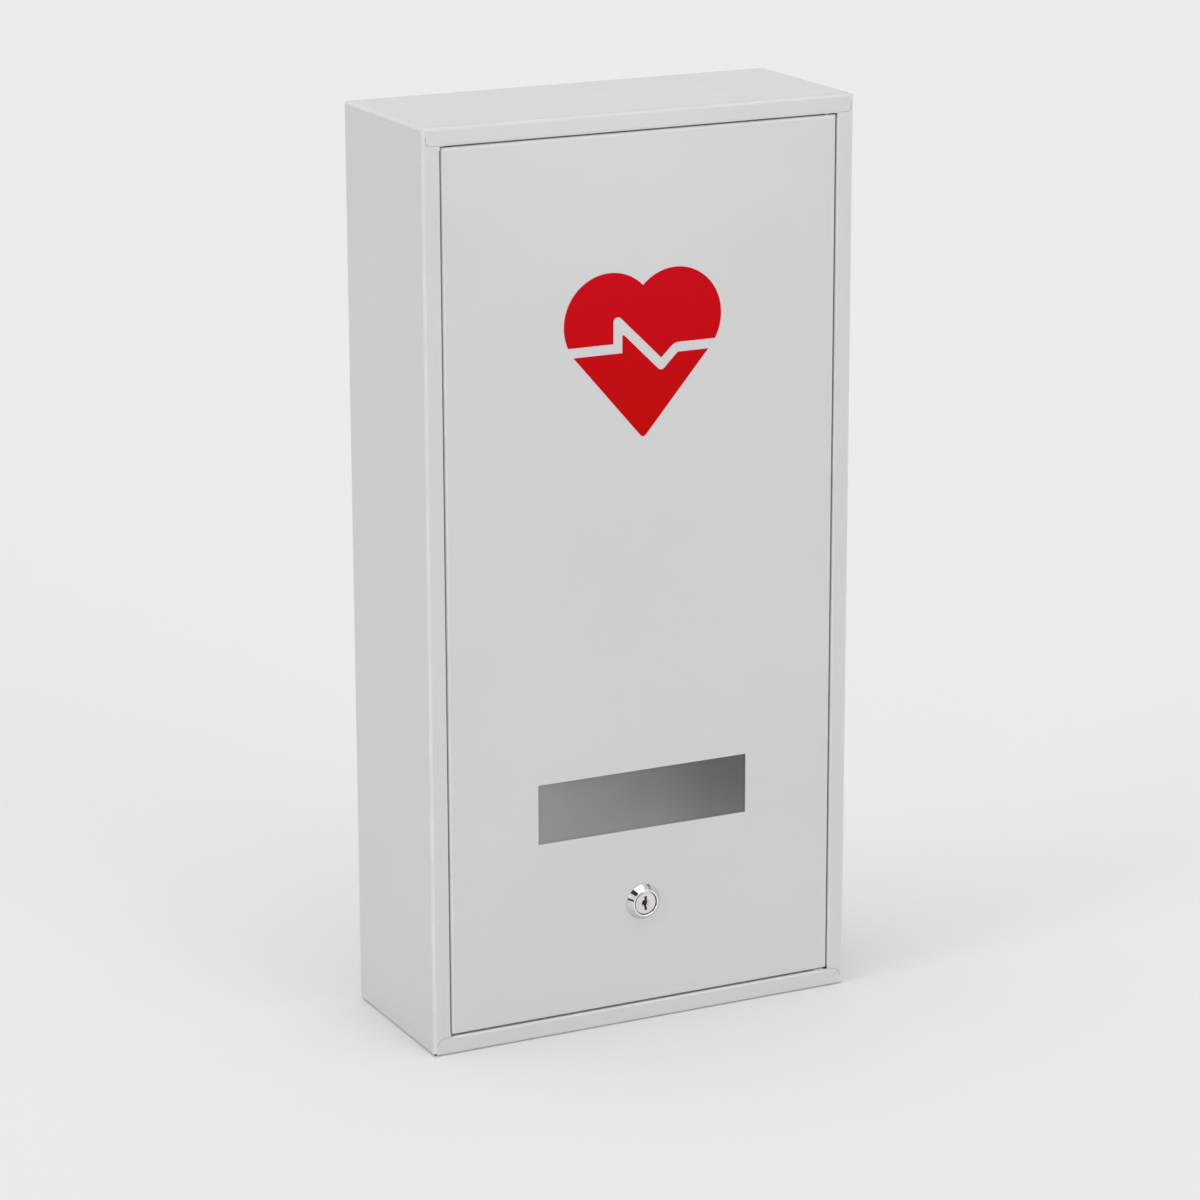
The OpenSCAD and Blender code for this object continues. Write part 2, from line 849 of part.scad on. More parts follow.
casing_top();
casing_bottom();
casing_side(-1);  // casing_left
casing_side(1);  // casing_right
back_panel();
shelf(shelf_upper_z);  // shelf_upper
shelf(shelf_middle_z);  // shelf_middle
shelf(shelf_lower_z);  // shelf_lower
shelf_bracket(shelf_upper_z, -1);  // shelf_bracket_upper_left
shelf_bracket(shelf_upper_z, 1);  // shelf_bracket_upper_right
shelf_bracket(shelf_middle_z, -1);  // shelf_bracket_middle_left
shelf_bracket(shelf_middle_z, 1);  // shelf_bracket_middle_right
shelf_bracket(shelf_lower_z, -1);  // shelf_bracket_lower_left
shelf_bracket(shelf_lower_z, 1);  // shelf_bracket_lower_right
lock_keeper();
door_stop(stop_upper_z);  // door_stop_upper
door_stop(stop_lower_z);  // door_stop_lower
stop_bumper(stop_upper_z);  // stop_bumper_upper
stop_bumper(stop_lower_z);  // stop_bumper_lower
hinge_bush(1);  // hinge_bush_top
hinge_bush(0);  // hinge_bush_bottom
door_panel();
hinge_pin(1);  // hinge_pin_top
hinge_pin(0);  // hinge_pin_bottom
window_pane();
window_channel(1);  // window_channel_upper
window_channel(-1);  // window_channel_lower
lock_housing();
lock_washer();
lock_nut();
lock_plug();
lock_wafers();
lock_cam();
cam_washer();
cam_screw();
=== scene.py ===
import json
import math

import bmesh
import bpy
from mathutils import Matrix, Vector


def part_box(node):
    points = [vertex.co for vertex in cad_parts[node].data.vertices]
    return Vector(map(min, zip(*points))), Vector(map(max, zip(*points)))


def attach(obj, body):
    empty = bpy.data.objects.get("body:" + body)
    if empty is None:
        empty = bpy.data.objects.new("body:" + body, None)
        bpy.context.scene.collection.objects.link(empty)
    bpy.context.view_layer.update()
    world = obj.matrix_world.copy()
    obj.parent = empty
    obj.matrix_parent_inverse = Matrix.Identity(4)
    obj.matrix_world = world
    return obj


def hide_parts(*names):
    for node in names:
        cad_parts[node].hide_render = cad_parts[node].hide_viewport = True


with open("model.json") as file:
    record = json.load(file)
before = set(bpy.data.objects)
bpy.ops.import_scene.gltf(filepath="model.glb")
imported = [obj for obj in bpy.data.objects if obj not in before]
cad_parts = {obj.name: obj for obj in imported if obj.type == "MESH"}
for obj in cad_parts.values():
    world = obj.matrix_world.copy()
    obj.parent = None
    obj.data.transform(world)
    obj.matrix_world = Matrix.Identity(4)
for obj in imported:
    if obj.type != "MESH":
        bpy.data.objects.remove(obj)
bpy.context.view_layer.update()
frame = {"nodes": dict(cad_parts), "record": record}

MM = 0.001
WHITE = (1, 1, 1)
BLACK = (0, 0, 0)
scene = bpy.context.scene
scene.view_settings.view_transform = "Standard"


def add_object(name, data):
    """A new object with the data, linked to the scene."""
    added = bpy.data.objects.new(name, data)
    scene.collection.objects.link(added)
    return added


def direction(azimuth, elevation):
    """Unit vector towards a place seen from the cabinet, from angles in degrees.

    Azimuth 0 is straight in front of the door and positive to its right.
    """
    a = math.radians(azimuth)
    e = math.radians(elevation)
    return Vector((math.sin(a) * math.cos(e), -math.cos(a) * math.cos(e), math.sin(e)))


# ---------------------------------------------------------------- camera
# The photograph's frame is 1200 pixels square. The angles, the place and the focal
# length in pixels come from fitting the casing's corners and the door's gap.
IMAGE_PX = 1200
FOCAL_PX = 4337
SENSOR_MM = 36
CLIP_END = 100
VIEW_AZIMUTH = -26.29
VIEW_ELEVATION = 15.67
VIEW_ROLL = -0.16
CAMERA_PLACE = Vector((-1204.2, -2435.5, 1032.7)) * MM


def make_camera():
    data = bpy.data.cameras.new("camera")
    data.sensor_width = SENSOR_MM
    data.lens = SENSOR_MM * FOCAL_PX / IMAGE_PX
    data.clip_end = CLIP_END
    camera = add_object("camera", data)
    azimuth = math.radians(VIEW_AZIMUTH)
    back = direction(VIEW_AZIMUTH, VIEW_ELEVATION)
    right = Vector((math.cos(azimuth), math.sin(azimuth), 0))
    up = back.cross(right)
    turn = Matrix((right, up, back)).transposed().to_4x4()
    roll = Matrix.Rotation(math.radians(VIEW_ROLL), 4, "Z")
    camera.matrix_world = Matrix.Translation(CAMERA_PLACE) @ turn @ roll
    scene.camera = camera


# ---------------------------------------------------------------- shader nodes
# The middle stretch of a noise texture's values, where most of them lie.
NOISE_LOW = 0.3
NOISE_HIGH = 0.7


class Graph:
    """Adds nodes to a shader. A source is a node's output, a number or an (r, g, b) colour."""

    def __init__(self, tree):
        self.nodes = tree.nodes
        self.links = tree.links

    def put(self, source, socket):
        """Links a node's output to the socket, or sets the socket to the number or colour."""
        if isinstance(source, bpy.types.NodeSocket):
            self.links.new(source, socket)
        elif isinstance(source, tuple):
            socket.default_value = (*source, 1)
        else:
            socket.default_value = source

    def place(self, kind):
        """One of the texture coordinates; Object is in the piece's own metres."""
        node = self.nodes.get("place") or self.nodes.new("ShaderNodeTexCoord")
        node.name = "place"
        return node.outputs[kind]

    def split(self, vector):
        """The x, y and z of a vector."""
        node = self.nodes.new("ShaderNodeSeparateXYZ")
        self.links.new(vector, node.inputs[0])
        return list(node.outputs)

    def combine(self, operation, *sources):
        """All the sources multiplied, added or compared one after the other."""
        result = sources[0]
        for source in sources[1:]:
            node = self.nodes.new("ShaderNodeMath")
            node.operation = operation
            self.put(result, node.inputs[0])
            self.put(source, node.inputs[1])
            result = node.outputs[0]
        return result

    def vector_math(self, operation, *vectors):
        """A node that works on vectors; its result is its Value or its Vector."""
        node = self.nodes.new("ShaderNodeVectorMath")
        node.operation = operation
        for vector, socket in zip(vectors, node.inputs):
            self.links.new(vector, socket)
        return node

    def step(self, source, start, end):
        """0 below start, 1 above end and smooth between; start may be the higher one."""
        node = self.nodes.new("ShaderNodeMapRange")
        node.interpolation_type = "SMOOTHSTEP"
        self.put(min(start, end), node.inputs["From Min"])
        self.put(max(start, end), node.inputs["From Max"])
        self.put(0 if start < end else 1, node.inputs["To Min"])
        self.put(1 if start < end else 0, node.inputs["To Max"])
        self.put(source, node.inputs["Value"])
        return node.outputs["Result"]

    def stretch(self, source, low, high, start=NOISE_LOW, end=NOISE_HIGH):
        """The source's stretch from start to end turned into low to high, and level beyond."""
        node = self.nodes.new("ShaderNodeMapRange")
        self.put(start, node.inputs["From Min"])
        self.put(end, node.inputs["From Max"])
        self.put(low, node.inputs["To Min"])
        self.put(high, node.inputs["To Max"])
        self.put(source, node.inputs["Value"])
        return node.outputs["Result"]

    def noise(self, scale, detail=2, place=None):
        """Noise with scale features per metre, over the piece's own metres unless a place is given."""
        node = self.nodes.new("ShaderNodeTexNoise")
        self.put(scale, node.inputs["Scale"])
        self.put(detail, node.inputs["Detail"])
        self.put(self.place("Object") if place is None else place, node.inputs["Vector"])
        return node.outputs["Fac"]

    def mix(self, factor, first, second):
        """The first colour where the factor is 0 and the second where it is 1."""
        node = self.nodes.new("ShaderNodeMix")
        node.data_type = "RGBA"
        self.put(factor, node.inputs["Factor"])
        self.put(first, node.inputs["A"])
        self.put(second, node.inputs["B"])
        return node.outputs["Result"]

    def bump(self, layers):
        """A normal from (height, strength, depth in metres) layers, each on top of the last."""
        below = None
        for height, strength, depth in layers:
            node = self.nodes.new("ShaderNodeBump")
            self.put(strength, node.inputs["Strength"])
            self.put(depth, node.inputs["Distance"])
            self.put(height, node.inputs["Height"])
            if below is not None:
                self.put(below, node.inputs["Normal"])
            below = node.outputs["Normal"]
        return below


def new_material(name):
    """A material, its graph and its shader."""
    material = bpy.data.materials.new(name)
    material.use_nodes = True
    graph = Graph(material.node_tree)
    return material, graph, graph.nodes["Principled BSDF"]


def even_material(name, values):
    """A material that is the same all over, from values by socket."""
    material, graph, shader = new_material(name)
    for socket, value in values.items():
        graph.put(value, shader.inputs[socket])
    return material


def shade(colour, factor):
    return tuple(c * factor for c in colour)


# ---------------------------------------------------------------- light and floor
BACKGROUND = 0.832
AMBIENT = 0.712
FLOOR_COLOUR = 0.824
FLOOR_SIZE = 40
FLOOR_DROP = 0.2 * MM

# Where reflections find the studio dark: two level bands on the left, between the soft
# boxes and along the floor's far edge, and a patch at the back right that darkens
# upwards. X, y and z are those of a direction. A band is its lower and upper edge, and
# every other pair runs from light to dark.
GAP_DARKNESS = 0.94
LEFT_GAP_X = (-0.3, -0.45)
LEFT_GAP_BANDS = ((0.56, 0.82), (0.0, 0.17))
LEFT_GAP_SOFTNESS = 0.015
BACK_GAP_X = (0.36, 0.42)
BACK_GAP_Y = (-0.15, -0.03)
BACK_GAP_Z = (0.2, 0.9)

CARD_PLACE = Vector((1.18, -2.6, 0.25))
CARD_SIZE = (0.5, 0.4)
CARD_LIGHT = 3.5


def sun_light(name, azimuth, elevation, spread, strength, colour):
    """A sun as wide as a soft box; the angles are in degrees."""
    data = bpy.data.lights.new(name, "SUN")
    data.energy = strength * math.pi
    data.angle = math.radians(spread)
    data.color = colour
    lamp = add_object(name, data)
    lamp.rotation_mode = "QUATERNION"
    lamp.rotation_quaternion = direction(azimuth, elevation).to_track_quat("Z", "Y")


def studio_gaps(graph):
    """How dark the studio is in a direction, from 0 to 1."""
    x, y, z = graph.split(graph.place("Generated"))
    left = graph.step(x, *LEFT_GAP_X)
    gaps = []
    for low, high in LEFT_GAP_BANDS:
        above = graph.step(z, low - LEFT_GAP_SOFTNESS, low + LEFT_GAP_SOFTNESS)
        below = graph.step(z, high + LEFT_GAP_SOFTNESS, high - LEFT_GAP_SOFTNESS)
        gaps.append(graph.combine("MULTIPLY", left, above, below))
    sides = [graph.step(x, *BACK_GAP_X), graph.step(y, *BACK_GAP_Y), graph.step(z, *BACK_GAP_Z)]
    gaps.append(graph.combine("MULTIPLY", *sides))
    return graph.combine("MAXIMUM", *gaps)


def white_background(graph, strength):
    node = graph.nodes.new("ShaderNodeBackground")
    graph.put(WHITE, node.inputs["Color"])
    graph.put(strength, node.inputs["Strength"])
    return node.outputs[0]


def make_world():
    """Even soft light; camera, metal and glass see the pale background, and gloss the dark gaps too."""
    world = bpy.data.worlds.new("studio")
    scene.world = world
    world.use_nodes = True
    graph = Graph(world.node_tree)
    graph.nodes.clear()
    path = graph.nodes.new("ShaderNodeLightPath")
    dark = graph.combine("MULTIPLY", studio_gaps(graph), path.outputs["Is Glossy Ray"], GAP_DARKNESS)
    seen = graph.combine("MULTIPLY", graph.combine("SUBTRACT", 1, dark), BACKGROUND)
    kinds = ("Is Camera Ray", "Is Glossy Ray", "Is Transmission Ray")
    sees_background = graph.combine("MAXIMUM", *[path.outputs[kind] for kind in kinds])
    mix = graph.nodes.new("ShaderNodeMixShader")
    graph.put(sees_background, mix.inputs["Fac"])
    graph.put(white_background(graph, AMBIENT), mix.inputs[1])
    graph.put(white_background(graph, seen), mix.inputs[2])
    out = graph.nodes.new("ShaderNodeOutputWorld")
    graph.put(mix.outputs[0], out.inputs[0])


def make_rectangle(name, width, height, material):
    """A flat rectangle round its own origin, facing its own +Z."""
    x = width / 2
    y = height / 2
    mesh = bpy.data.meshes.new(name)
    mesh.from_pydata([(-x, -y, 0), (x, -y, 0), (x, y, 0), (-x, y, 0)], [], [(0, 1, 2, 3)])
    mesh.materials.append(material)
    return add_object(name, mesh)


def make_floor():
    material = even_material("floor", {
        "Base Color": (FLOOR_COLOUR, FLOOR_COLOUR, FLOOR_COLOUR),
        "Roughness": 1.0,
        "Specular IOR Level": 0.0,
    })
    floor = make_rectangle("floor", FLOOR_SIZE, FLOOR_SIZE, material)
    floor.location.z = -FLOOR_DROP


def make_bright_card():
    """A lit card at the front right that only reflections show; it lifts the gloss at the door's top."""
    material = even_material("bright_card", {
        "Base Color": BLACK,
        "Emission Color": WHITE,
        "Emission Strength": CARD_LIGHT,
    })
    card = make_rectangle("bright_card", *CARD_SIZE, material)
    card.location = CARD_PLACE
    card.rotation_mode = "QUATERNION"
    card.rotation_quaternion = Vector((-CARD_PLACE.x, -CARD_PLACE.y, 0)).to_track_quat("Z", "Y")
    card.visible_camera = False
    card.visible_diffuse = False
    card.visible_transmission = False
    card.visible_shadow = False


# ---------------------------------------------------------------- powder coat
COAT = (0.605, 0.605, 0.605)
COAT_SPECULAR = 0.42
COAT_ROUGHNESS = (0.195, 0.225)
COAT_CLOUD_SCALE = 9
COAT_CLOUD_SHADES = (0.985, 1.015)
SMEAR_SCALE = 55
PEEL_SCALE = 650
PEEL_BUMP = (0.14, 0.06 * MM)
GRAIN_SCALE = 2600
GRAIN_BUMP = (0.08, 0.02 * MM)

# Edges and folds rub smoother, and are painted paler: partly wear, partly a painted highlight
# along the folds. The masks rise between two cosines: of the angle by which a bevel turns the normal, and of
# the angle between normal and axis.
EDGE_WIDTH = 0.8 * MM
EDGE_SAMPLES = 4
EDGE_COSINES = (0.995, 0.8)
FOLD_COSINES = (0.985, 0.9)
WEAR_AND_HIGHLIGHT_SHADE = 1.17
RUB_POLISH = 0.08
WEAR_AND_HIGHLIGHT_LEAST = 0.4

# The welded seams' floors lie 0.3 mm behind the casing's front face and face forward; a painted shade
# darkens them.
SEAM_PAINTED_SHADE = 0.72
SEAM_NEAR = (0.15 * MM, 0.24 * MM)
SEAM_FAR = (0.45 * MM, 0.36 * MM)
SEAM_NORMAL_Y = (-0.95, -0.99)

# The notch at the casing's lower left front corner, whose inside is painted dark as shade: its
# middle's distance from the casing's side and underside, then where its painted shade ends across and in
# depth.
NOTCH_PAINTED_SHADE = 0.1
NOTCH_INSET = 1.3 * MM
NOTCH_EDGE = (0.88 * MM, 0.824 * MM)
NOTCH_END = (2.86 * MM, 2.73 * MM)


def edge_mask(graph):
    """1 along outer and inner edges, 0 on flat stretches."""
    bevel = graph.nodes.new("ShaderNodeBevel")
    bevel.samples = EDGE_SAMPLES
    graph.put(EDGE_WIDTH, bevel.inputs["Radius"])
    shape = graph.nodes.new("ShaderNodeNewGeometry")
    turn = graph.vector_math("DOT_PRODUCT", bevel.outputs["Normal"], shape.outputs["Normal"])
    return graph.step(turn.outputs["Value"], *EDGE_COSINES)


def fold_mask(graph):
    """1 on the rounded folds and corners, 0 where the normal runs along one of the piece's axes."""
    size = graph.vector_math("ABSOLUTE", graph.place("Normal"))
    largest = graph.combine("MAXIMUM", *graph.split(size.outputs["Vector"]))
    return graph.step(largest, *FOLD_COSINES)


def behind_front(depths):
    """Places along Y at depths behind the casing's front face."""
    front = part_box("casing_top")[0].y
    return [front + depth for depth in depths]


def seam_painted_shade_mask(graph):
    """1 on the floors of the casing's welded seams, where shade is painted."""
    y = graph.split(graph.place("Object"))[1]
    normal_y = graph.split(graph.place("Normal"))[1]
    near = graph.step(y, *behind_front(SEAM_NEAR))
    far = graph.step(y, *behind_front(SEAM_FAR))
    facing = graph.step(normal_y, *SEAM_NORMAL_Y)
    return graph.combine("MULTIPLY", near, far, facing)


def notch_painted_shade_mask(graph):
    """1 inside the small notch at the casing's lower left front corner, where shade is painted."""
    x, y, z = graph.split(graph.place("Object"))
    side_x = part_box("casing_left")[0].x
    underside_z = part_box("casing_bottom")[0].z
    across = graph.combine("SUBTRACT", x, side_x + NOTCH_INSET)
    up = graph.combine("SUBTRACT", z, underside_z + NOTCH_INSET)
    squares = [graph.combine("MULTIPLY", leg, leg) for leg in (across, up)]
    distance = graph.combine("POWER", graph.combine("ADD", *squares), 0.5)
    inside = graph.step(distance, *NOTCH_EDGE)
    shallow = graph.step(y, *behind_front(NOTCH_END))
    return graph.combine("MULTIPLY", inside, shallow)


def powder_coat(name, colour, painted_shade_spots=()):
    """Satin powder coat: faint cloudiness, an orange-peel skin, fine grain, and edges that are smoother and
    painted paler, partly wear and partly a painted highlight.

    Each dark spot is a (mask function, shade) pair that paints shade into a recess.
    """
    material, graph, shader = new_material(name)
    cloud = graph.stretch(graph.noise(COAT_CLOUD_SCALE, 3), 0, 1)
    body = graph.mix(cloud, *[shade(colour, factor) for factor in COAT_CLOUD_SHADES])
    smear = graph.noise(SMEAR_SCALE, 4)
    edges = graph.combine("MAXIMUM", edge_mask(graph), fold_mask(graph))
    wear_and_highlight = graph.combine("MULTIPLY", edges, graph.stretch(smear, WEAR_AND_HIGHLIGHT_LEAST, 1))
    # edges and folds painted paler: partly wear, partly a painted highlight
    skin = graph.mix(wear_and_highlight, body, shade(colour, WEAR_AND_HIGHLIGHT_SHADE))
    # painted shade in recesses such as seams and notches
    for mask, factor in painted_shade_spots:
        skin = graph.mix(mask(graph), skin, shade(colour, factor))
    graph.put(skin, shader.inputs["Base Color"])
    polish = graph.combine("MULTIPLY", wear_and_highlight, RUB_POLISH)
    rough = graph.stretch(smear, *COAT_ROUGHNESS)
    graph.put(graph.combine("SUBTRACT", rough, polish), shader.inputs["Roughness"])
    graph.put(COAT_SPECULAR, shader.inputs["Specular IOR Level"])
    peel = (graph.noise(PEEL_SCALE, 1), *PEEL_BUMP)
    grain = (graph.noise(GRAIN_SCALE, 2), *GRAIN_BUMP)
    graph.put(graph.bump([peel, grain]), shader.inputs["Normal"])
    return material


# ---------------------------------------------------------------- metal, plastic and rubber
ZINC = (0.62, 0.64, 0.66)
CHROME = (0.71, 0.72, 0.725)
CHROME_LIP = (0.93, 0.94, 0.945)
NICKEL = (0.78, 0.74, 0.75)
BRASS = (0.72, 0.52, 0.24)
NYLON = (0.50, 0.53, 0.51)
RUBBER = (0.035, 0.035, 0.036)
GREASE = (0.07, 0.055, 0.045)

BRUSH_SCALE = 1800
BRUSH_DEPTH = 0.02 * MM
PLATE_CLOUD_SCALE = 120
PLATE_CLOUD_SHADES = (0.94, 1.04)
MOULD_CLOUD_SCALE = 160
MOULD_CLOUD_SHADES = (0.93, 1.05)
MOULD_ROUGHNESS_SPREAD = 0.06
MOULD_BUMP_DEPTH = 0.03 * MM


def plated(name, colour, roughness, streak=1.0, bump=0.05):
    """Plated or polished metal with brushed streaks, streak times longer along X than across."""
    material, graph, shader = new_material(name)
    graph.put(1.0, shader.inputs["Metallic"])
    longer = graph.nodes.new("ShaderNodeMapping")
    longer.inputs["Scale"].default_value = (1 / streak, 1, 1)
    graph.put(graph.place("Object"), longer.inputs["Vector"])
    brush = graph.noise(BRUSH_SCALE, 3, longer.outputs["Vector"])
    cloud = graph.stretch(graph.noise(PLATE_CLOUD_SCALE, 3), 0, 1)
    tones = [shade(colour, factor) for factor in PLATE_CLOUD_SHADES]
    graph.put(graph.mix(cloud, *tones), shader.inputs["Base Color"])
    graph.put(graph.stretch(brush, *roughness), shader.inputs["Roughness"])
    graph.put(graph.bump([(brush, bump, BRUSH_DEPTH)]), shader.inputs["Normal"])
    return material


def moulded(name, colour, roughness, skin_scale, bump):
    """Moulded plastic, rubber or grease with a fine matt skin."""
    material, graph, shader = new_material(name)
    cloud = graph.stretch(graph.noise(MOULD_CLOUD_SCALE, 3), 0, 1)
    tones = [shade(colour, factor) for factor in MOULD_CLOUD_SHADES]
    graph.put(graph.mix(cloud, *tones), shader.inputs["Base Color"])
    skin = graph.noise(skin_scale)
    low = roughness - MOULD_ROUGHNESS_SPREAD
    high = roughness + MOULD_ROUGHNESS_SPREAD
    graph.put(graph.stretch(skin, low, high), shader.inputs["Roughness"])
    graph.put(graph.bump([(skin, bump, MOULD_BUMP_DEPTH)]), shader.inputs["Normal"])
    return material


# ---------------------------------------------------------------- pane
# The pane's two colours are its painted lit end and its painted shaded end.
PANE_LIT_MILKY = (0.376, 0.388, 0.371)
PANE_SHADED_GREY = (0.129, 0.134, 0.120)
PANE_TRANSMISSION = 0.35
PANE_IOR = 1.49
PANE_ROUGHNESS = (0.30, 0.38)
PANE_HAZE_SCALE = 30
PANE_BUMP = (0.1, 0.05 * MM)
# The painted light and shade follows the place across the pane, from 0 to 1, plus a share of the height.
PANE_LEAN = 0.35
PANE_DRIFT = 0.1
PANE_DRIFT_SCALE = 14
PANE_FADE = (0.1, 1.3)


def hazy_sheet(name):
    """Hazy acrylic with painted light and shade: lighter towards its lower left, darker towards its upper
    right.
    """
    material, graph, shader = new_material(name)
    x, _, z = graph.split(graph.place("Generated"))
    lean = graph.combine("MULTIPLY", z, PANE_LEAN)
    drift = graph.stretch(graph.noise(PANE_DRIFT_SCALE), -PANE_DRIFT, PANE_DRIFT)
    # painted light and shade across the pane
    painted_light_and_shade = graph.step(graph.combine("ADD", x, lean, drift), *PANE_FADE)
    graph.put(graph.mix(painted_light_and_shade, PANE_LIT_MILKY, PANE_SHADED_GREY), shader.inputs["Base Color"])
    graph.put(PANE_TRANSMISSION, shader.inputs["Transmission Weight"])
    graph.put(PANE_IOR, shader.inputs["IOR"])
    haze = graph.noise(PANE_HAZE_SCALE)
    graph.put(graph.stretch(haze, *PANE_ROUGHNESS), shader.inputs["Roughness"])
    graph.put(graph.bump([(haze, *PANE_BUMP)]), shader.inputs["Normal"])
    return material


# ---------------------------------------------------------------- heart sign
# Sizes in millimetres on the door's face; z is above the casing's underside.
SIGN_LOBE_X = 23.0
SIGN_LOBE_Z = 467.5
SIGN_LOBE_R = 32.2
SIGN_TIP_Z = 393.0
SIGN_TIP_R = 2.6
SIGN_THICKNESS = 0.12
PULSE_W = 6.3
PULSE_LEFT_Z = 451.1
PULSE_RISE_X = -17.7
PULSE_PEAK_Z = 468.0
PULSE_DIP = (12.8, 438.0)
PULSE_RIGHT = (23.2, 448.2)
PULSE_RIGHT_R = 6.0
PULSE_SMALL_R = 0.8
PULSE_OVERRUN = 70.0
CUTTER_REACH = 1
ARC_STEP = math.radians(3)

INK_HIGH = (0.565, 0.0022, 0.0095)
INK_LOW = (0.50, 0.0024, 0.0016)
INK_SPECULAR = 0.03
INK_ROUGHNESS = (0.5, 0.6)
INK_MOTTLE_SCALE = 700
INK_BUMP = (0.06, 0.03 * MM)


def sign_ink(name):
    """Red screen print: nearly matt and a touch deeper towards the sign's tip."""
    material, graph, shader = new_material(name)
    z = graph.split(graph.place("Object"))[2]
    rise = graph.stretch(z, 0, 1, SIGN_TIP_Z * MM, (SIGN_LOBE_Z + SIGN_LOBE_R) * MM)
    graph.put(graph.mix(rise, INK_LOW, INK_HIGH), shader.inputs["Base Color"])
    mottle = graph.noise(INK_MOTTLE_SCALE)
    graph.put(graph.stretch(mottle, *INK_ROUGHNESS), shader.inputs["Roughness"])
    graph.put(INK_SPECULAR, shader.inputs["Specular IOR Level"])
    graph.put(graph.bump([(mottle, *INK_BUMP)]), shader.inputs["Normal"])
    return material


def arc(centre, radius, start, end):
    """Points on an arc from angle start to angle end."""
    steps = max(2, math.ceil(abs(end - start) / ARC_STEP))
    angles = [start + (end - start) * i / steps for i in range(steps + 1)]
    return [(centre[0] + radius * math.cos(a), centre[1] + radius * math.sin(a)) for a in angles]


def heart_outline():
    """Two round lobes whose tangents run down to a rounded tip."""
    tip = Vector((0, SIGN_TIP_Z + SIGN_TIP_R))
    lobe = Vector((SIGN_LOBE_X, SIGN_LOBE_Z))
    gap = lobe - tip
    # angle of the outward normal of the line that touches the lobe and the tip's round
    tilt = math.acos((SIGN_TIP_R - SIGN_LOBE_R) / gap.length)
    normal = math.atan2(gap.y, gap.x) - tilt
    cleft = math.acos(SIGN_LOBE_X / SIGN_LOBE_R)
    right = arc(lobe, SIGN_LOBE_R, normal, math.pi - cleft)
    left = [(-x, z) for x, z in reversed(right[:-1])]
    bottom = arc(tip, SIGN_TIP_R, math.pi - normal - 2 * math.pi, normal)
    return right + left + bottom[1:-1]


def corner_offset(before, corner, after, distance):
    """Where the two lines through a corner meet when both move sideways by a distance."""
    d0 = (Vector(corner) - Vector(before)).normalized()
    d1 = (Vector(after) - Vector(corner)).normalized()
    n0 = Vector((-d0.y, d0.x))
    n1 = Vector((-d1.y, d1.x))
    return Vector(corner) + (n0 + n1) * (distance / (1 + n0.dot(n1)))


def rounded(points, radii):
    """The open line through points, with each inner corner rounded by its radius; 0 keeps it sharp."""
    out = [points[0]]
    for before, corner, after, radius in zip(points, points[1:], points[2:], radii):
        corner = Vector(corner)
        d0 = (corner - Vector(before)).normalized()
        d1 = (Vector(after) - corner).normalized()
        if radius == 0:
            out.append(tuple(corner))
            continue
        turn = -d0.angle_signed(d1)
        reach = radius * math.tan(abs(turn) / 2)
        normal = Vector((-d0.y, d0.x)) * math.copysign(1, turn)
        centre = corner - d0 * reach + normal * radius
        start = math.atan2(-normal.y, -normal.x)
        out += arc(centre, radius, start, start + turn)
    return out + [points[-1]]


def pulse_outline():
    """The white line through the heart, as a closed band with rounded peaks."""
    line = [
        (-PULSE_OVERRUN, PULSE_LEFT_Z),
        (PULSE_RISE_X, PULSE_LEFT_Z),
        (PULSE_RISE_X, PULSE_PEAK_Z),
        PULSE_DIP,
        PULSE_RIGHT,
        (PULSE_OVERRUN, PULSE_RIGHT[1]),
    ]
    half = PULSE_W / 2

    def edge(side):
        shift = Vector((0, side * half))
        corners = [corner_offset(a, b, c, side * half) for a, b, c in zip(line, line[1:], line[2:])]
        return [Vector(line[0]) + shift, *corners, Vector(line[-1]) + shift]

    upper = rounded(edge(1), [0, half, PULSE_SMALL_R, PULSE_RIGHT_R + half])
    lower = rounded(edge(-1), [0, PULSE_SMALL_R, half, PULSE_RIGHT_R - half])
    return upper + list(reversed(lower))


def door_front_y():
    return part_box("door_panel")[0].y


def prism(name, outline, near, far):
    """A plate with the (x, z) outline, between two depths behind the door's face, all in mm."""
    mesh = bpy.data.meshes.new(name)
    bm = bmesh.new()
    back_y = door_front_y() + far * MM
    ring = [bm.verts.new((x * MM, back_y, z * MM)) for x, z in outline]
    face = bm.faces.new(ring)
    grown = bmesh.ops.extrude_face_region(bm, geom=[face])["geom"]
    moved = [item for item in grown if isinstance(item, bmesh.types.BMVert)]
    bmesh.ops.translate(bm, vec=(0, (near - far) * MM, 0), verts=moved)
    bmesh.ops.recalc_face_normals(bm, faces=bm.faces)
    bm.to_mesh(mesh)
    bm.free()
    return add_object(name, mesh)


def apply_modifiers(thing):
    bpy.context.view_layer.update()
    graph = bpy.context.evaluated_depsgraph_get()
    mesh = bpy.data.meshes.new_from_object(thing.evaluated_get(graph))
    thing.modifiers.clear()
    thing.data = mesh


def make_heart_sign(materials):
    """The red heart, with the pulse line cut out of it."""
    plate = prism("heart_sign", heart_outline(), -SIGN_THICKNESS, 0)
    cutter = prism("pulse_cutter", pulse_outline(), -CUTTER_REACH, CUTTER_REACH)
    cut = plate.modifiers.new("pulse", "BOOLEAN")
    cut.object = cutter
    cut.operation = "DIFFERENCE"
    cut.solver = "EXACT"
    apply_modifiers(plate)
    bpy.data.objects.remove(cutter)
    plate.data.materials.clear()
    plate.data.materials.append(materials["sign_ink"])
    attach(plate, "door")


